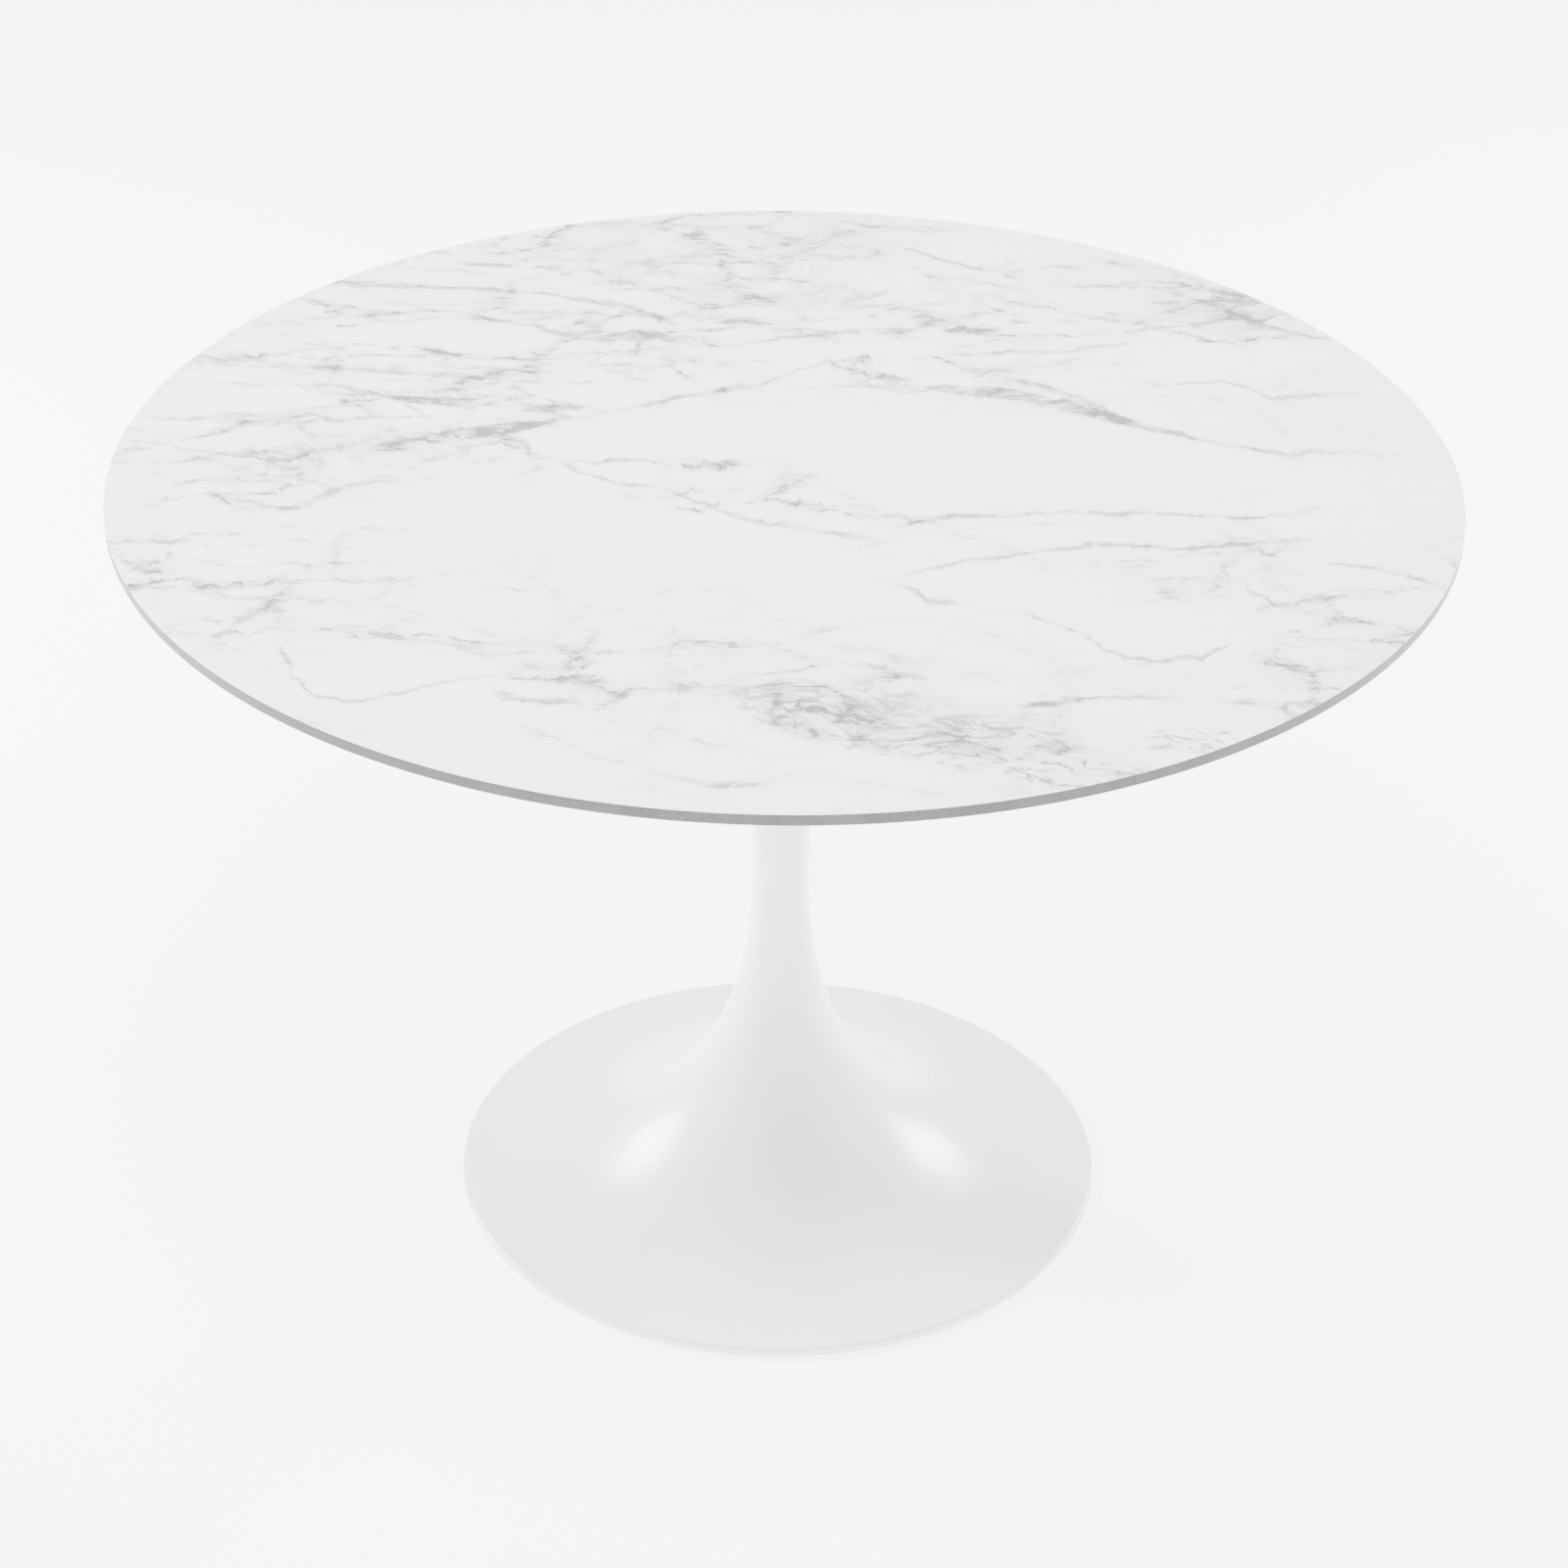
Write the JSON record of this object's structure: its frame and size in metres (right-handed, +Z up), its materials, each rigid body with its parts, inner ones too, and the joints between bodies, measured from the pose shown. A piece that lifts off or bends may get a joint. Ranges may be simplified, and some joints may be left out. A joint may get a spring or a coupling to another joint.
{
  "type": "round pedestal table",
  "caption": "Round table with a thin-edged marble-look top on a trumpet-shaped pedestal with a wide round foot.",
  "frame": {"origin": "on the floor at the table's axis, under the centre of the foot", "axes": "+Z up along the table's axis, towards the top surface; the table is round, so X and Y are alike"},
  "size_m": [1.1998, 1.2, 0.755],
  "materials": {
    "marble": "satin sheet with fine grey veins",
    "edge": "plain grey, faintly mottled",
    "board": "bare fibreboard, sealed",
    "backing": "plain off-white sheet",
    "brass_insert": "machined",
    "black_casting": "black powder coat over a casting",
    "zinc_steel": "bright zinc plated",
    "black_rubber": "matt",
    "bright_steel": "ground",
    "white_casting": "white satin paint over a smooth casting",
    "nylon": "natural",
    "plate_steel": "plain",
    "raw_iron": "as cast",
    "cover_plastic": "fine texture",
    "glide_rubber": "pale, matt"
  },
  "bodies": {
    "root": {"marble_laminate": "marble", "edge_band": "edge", "top_core": "board", "balancing_sheet": "backing", "threaded_inserts": "brass_insert", "mounting_spider": "black_casting", "spider_bolts": "zinc_steel", "spider_spring_washers": "zinc_steel", "spider_washers": "zinc_steel", "neck_gasket": "black_rubber", "dowel_pins": "bright_steel", "pedestal_shell": "white_casting", "foot_frame": "raw_iron", "draw_rod": "zinc_steel", "rod_top_nut": "zinc_steel", "rod_top_washer": "zinc_steel", "rod_guide_bush": "nylon", "clamp_plate": "plate_steel", "rod_bottom_washer": "zinc_steel", "rod_bottom_spring_washer": "zinc_steel", "rod_bottom_nut": "zinc_steel", "ballast_ring": "raw_iron", "ballast_washers": "zinc_steel", "ballast_screws": "zinc_steel", "base_cover": "cover_plastic", "base_cover_screws": "zinc_steel", "glide_ring": "glide_rubber"}
  },
  "joints": []
}
